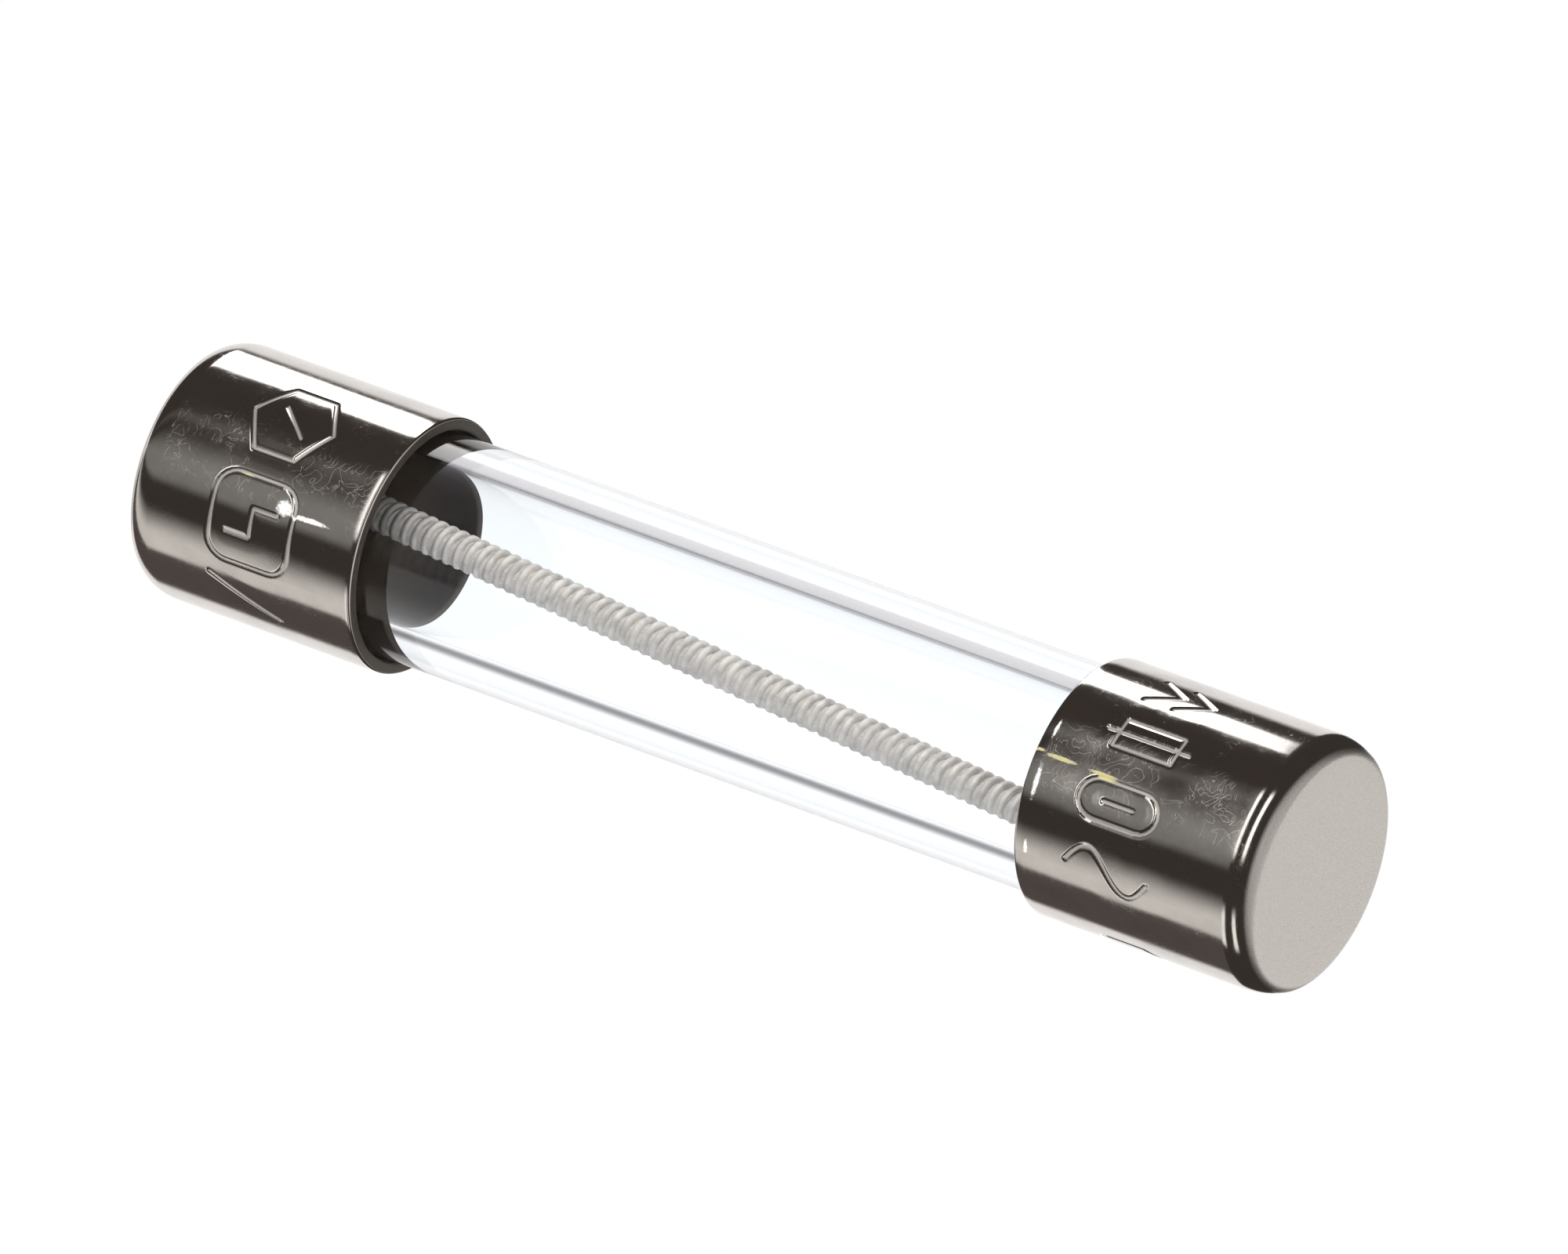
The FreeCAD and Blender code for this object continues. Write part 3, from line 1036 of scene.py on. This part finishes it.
def sky_through_glass(graph, angle):
    """What shows through the tube."""
    height = abs(angle)
    dark = graph.ramp(height, *THROUGH_DARK_START)
    sky = graph.mix_colour(dark, painted(THROUGH_BENCH), painted(THROUGH_DARK))
    sky = with_stripe(graph, angle, sky, *THROUGH_SHADE)
    walls_passed = graph.ramp(graph.ray("Transmission Depth"), *THROUGH_CEILING_WALLS)
    ceiling = graph.ramp(height, *THROUGH_CEILING_START) * walls_passed
    return graph.mix_colour(ceiling, sky, painted(THROUGH_CEILING))


def studio_sky():
    """The world: one set of stripes for mirrors, another through the glass, and plain white to look at."""
    world = bpy.data.worlds.new("studio")
    world.use_nodes = True
    bpy.context.scene.world = world
    graph = Graph(world.node_tree)
    x, y, z = graph.parts(graph.node("ShaderNodeTexCoord", None, None, "Generated"))
    angle = graph.maths("ARCTAN2", y * -1.0, z * -1.0) * (180 / math.pi)
    colour = graph.mix_colour(graph.ray("Is Transmission Ray"), sky_in_mirrors(graph, angle, x, z),
                              sky_through_glass(graph, angle))
    colour = graph.mix_colour(graph.ray("Is Diffuse Ray"), colour, painted(AMBIENT))
    colour = graph.mix_colour(graph.ray("Is Camera Ray"), colour, painted(WHITE))
    sky = graph.node("ShaderNodeBackground", None, {"Color": colour, "Strength": 1.0})
    graph.node("ShaderNodeOutputWorld", None, {"Surface": sky})


class FUSE_OT_stage(bpy.types.Operator):
    """Set up the floor, the light and the camera"""
    bl_idname = "fuse.stage"
    bl_label = "Stage"

    def execute(self, context):
        stage = context.scene.fuse.stage
        self.floor(stage)
        self.softbox(stage)
        studio_sky()
        self.camera(context, stage)
        context.scene.view_settings.view_transform = "Standard"
        return {"FINISHED"}

    def floor(self, stage):
        """A round floor that is seen but lights nothing, because the sky already does."""
        outline = [(CAD_LOW.z, 0.0), (CAD_LOW.z, stage.floor_radius)]
        floor = link("floor", lathe("floor", outline, 96, axis="Z"))
        floor.data.materials.append(glowing("pale_floor", stage.floor, 1.0))
        for ray in ("diffuse", "glossy", "transmission", "shadow"):
            setattr(floor, "visible_" + ray, False)

    def softbox(self, stage):
        """The bright card above and behind the fuse, out of the camera's sight."""
        ray_x = math.cos(stage.elevation) * math.sin(stage.azimuth)
        ray_out = math.sqrt(1 - ray_x ** 2)
        (left, left_low, left_high), (right, right_low, right_high) = SOFTBOX_SPANS
        corners, glow = [], []
        for along in SOFTBOX_SHARES:
            place = left + (right - left) * along
            low = left_low + (right_low - left_low) * along
            high = left_high + (right_high - left_high) * along
            for across in SOFTBOX_SHARES:
                angle = math.radians(low + (high - low) * across)
                reach = SOFTBOX_HEIGHT / math.sin(angle)
                corners.append((place - reach * ray_x / ray_out, -reach * math.cos(angle), SOFTBOX_HEIGHT))
                glow.append(float(0 < along < 1 and 0 < across < 1))
        count = len(SOFTBOX_SHARES)
        firsts = [row * count + column for row in range(count - 1) for column in range(count - 1)]
        cells = [(first, first + 1, first + count + 1, first + count) for first in firsts]
        mesh = bpy.data.meshes.new("softbox")
        mesh.from_pydata(corners, [], cells)
        mesh.attributes.new("glow", "FLOAT", "POINT").data.foreach_set("value", glow)
        card = link("softbox", mesh)
        card.data.materials.append(glowing("softbox", SOFTBOX_LIGHT, stage.softbox_power, "glow"))
        for ray in ("camera", "diffuse", "transmission", "shadow"):
            setattr(card, "visible_" + ray, False)

    def camera(self, context, stage):
        """The camera, aimed a little off the middle of the fuse."""
        across = math.cos(stage.elevation)
        back = Vector((math.sin(stage.azimuth) * across, -math.cos(stage.azimuth) * across,
                       math.sin(stage.elevation)))
        right = Vector((math.cos(stage.azimuth), math.sin(stage.azimuth), 0.0))
        up = back.cross(right)
        camera = bpy.data.objects.new("camera", bpy.data.cameras.new("camera"))
        camera.data.lens = stage.lens
        camera.data.clip_start, camera.data.clip_end = 0.05, 20.0
        camera.location = back * stage.distance + right * stage.shift_right + up * stage.shift_up
        camera.rotation_mode = "QUATERNION"
        camera.rotation_quaternion = (-back).to_track_quat("-Z", "Y")
        context.scene.collection.objects.link(camera)
        context.scene.camera = camera


# ---- add-on

OPERATORS = (FUSE_OT_stage, FUSE_OT_end_caps, FUSE_OT_glass_tube, FUSE_OT_fuse_wire,
             FUSE_OT_yarn_core, FUSE_OT_solder)


class FUSE_PT_panel(bpy.types.Panel):
    """The steps that build the fuse"""
    bl_idname = "FUSE_PT_panel"
    bl_label = "Cartridge fuse"
    bl_space_type = "VIEW_3D"
    bl_region_type = "UI"
    bl_category = "Fuse"

    def draw(self, context):
        for operator in OPERATORS:
            self.layout.operator(operator.bl_idname)


CLASSES = (CapSettings, MarkSettings, GlassSettings, ElementSettings, SolderSettings, StageSettings,
           FuseSettings) + OPERATORS + (FUSE_PT_panel,)


def register():
    for made in CLASSES:
        bpy.utils.register_class(made)
    bpy.types.Scene.fuse = PointerProperty(type=FuseSettings)


def unregister():
    del bpy.types.Scene.fuse
    for made in reversed(CLASSES):
        bpy.utils.unregister_class(made)


def main():
    register()
    for operator in OPERATORS:
        group, name = operator.bl_idname.split(".")
        getattr(getattr(bpy.ops, group), name)()


if __name__ == "__main__":
    main()
